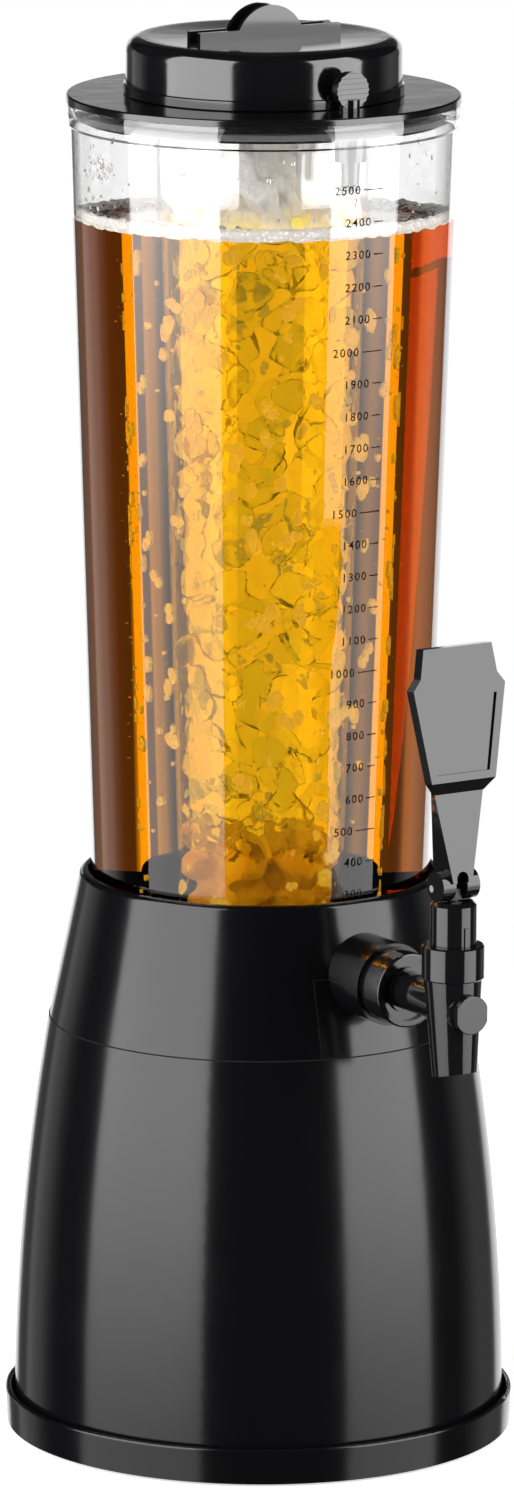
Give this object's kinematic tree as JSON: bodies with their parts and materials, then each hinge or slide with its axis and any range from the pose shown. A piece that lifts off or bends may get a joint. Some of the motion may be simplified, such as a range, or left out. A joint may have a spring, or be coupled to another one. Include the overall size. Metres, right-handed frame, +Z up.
{
  "type": "beer tower dispenser",
  "caption": "Tall drink tower with a black tapered base, a clear graduated vessel, a hanging ice tube, a lid with a cap and a vent plug, and a lever tap on a stub at the front.",
  "frame": {"origin": "centre of the face that the foot ring stands on", "axes": "+Z up along the vessel, the tap points along -Y, +X is to the right of someone who stands in front of the tap and faces the tower"},
  "size_m": [0.1815, 0.2271, 0.5115],
  "materials": {
    "black_gloss": "glossy moulded black",
    "black_matte": "plain moulded black",
    "clear_plastic": "clear and polished",
    "rubber": "soft matt",
    "steel": "plain stainless"
  },
  "bodies": {
    "tower": {"base_tray": "black_gloss", "foot_ring": "rubber", "tray_screws": "steel", "base_body": "black_gloss", "tank_screws": "steel", "tank_cup": "black_gloss", "collar": "black_gloss", "slot_cover": "black_gloss", "collar_screws": "steel", "vessel": "clear_plastic", "vessel_seal": "rubber", "tap_shank": "black_gloss", "front_nut": "black_gloss", "spacer_sleeve": "black_matte", "shank_gasket": "rubber", "back_nut": "black_matte", "tap_body": "black_gloss", "bonnet": "black_gloss", "tap_spring": "steel"},
    "plunger": {"plunger": "black_matte", "valve_seal": "rubber", "piston_ring": "rubber"},
    "handle": {"handle": "black_gloss", "handle_pin": "steel"},
    "flow_knob": {"flow_knob": "black_gloss", "knob_seal": "rubber"},
    "lid": {"lid_flange": "black_gloss", "lid_neck": "black_gloss", "lid_seal": "rubber", "ice_tube": "clear_plastic", "ice_tube_seal": "rubber"},
    "cap": {"cap": "black_gloss", "cap_seal": "rubber"},
    "vent_plug": {"vent_plug": "black_gloss", "vent_plug_seal": "rubber"}
  },
  "joints": [
    {"name": "plunger_lift", "type": "slide", "parent": "tower", "child": "plunger", "axis": [0, 0, 1], "range_m": [0, 0.00237], "deforming": ["tap_spring"]},
    {"name": "handle_tilt", "type": "hinge", "parent": "plunger", "child": "handle", "pos_m": [0, -0.12146, 0.21882], "axis": [1, 0, 0], "range_deg": [0, 50], "stiffness_Nm_per_rad": 0.15, "springref_deg": -20.05},
    {"name": "flow_knob_turn", "type": "hinge", "parent": "tower", "child": "flow_knob", "pos_m": [0, -0.13, 0.176], "axis": [0, -1, 0], "range_deg": [-90, 90]},
    {"name": "lid_lift", "type": "slide", "parent": "tower", "child": "lid", "axis": [0, 0, 1], "range_m": [0, 0.33]},
    {"name": "cap_turn", "type": "hinge", "parent": "lid", "child": "cap", "pos_m": [0, 0, 0.488], "axis": [0, 0, 1], "range_deg": [0, 90]},
    {"name": "vent_plug_pull", "type": "slide", "parent": "lid", "child": "vent_plug", "axis": [0, 0, 1], "range_m": [0, 0.015]}
  ],
  "couplings": [
    {"joint": "plunger_lift", "follows": "handle_tilt", "m_per_rad": 0.002712}
  ]
}
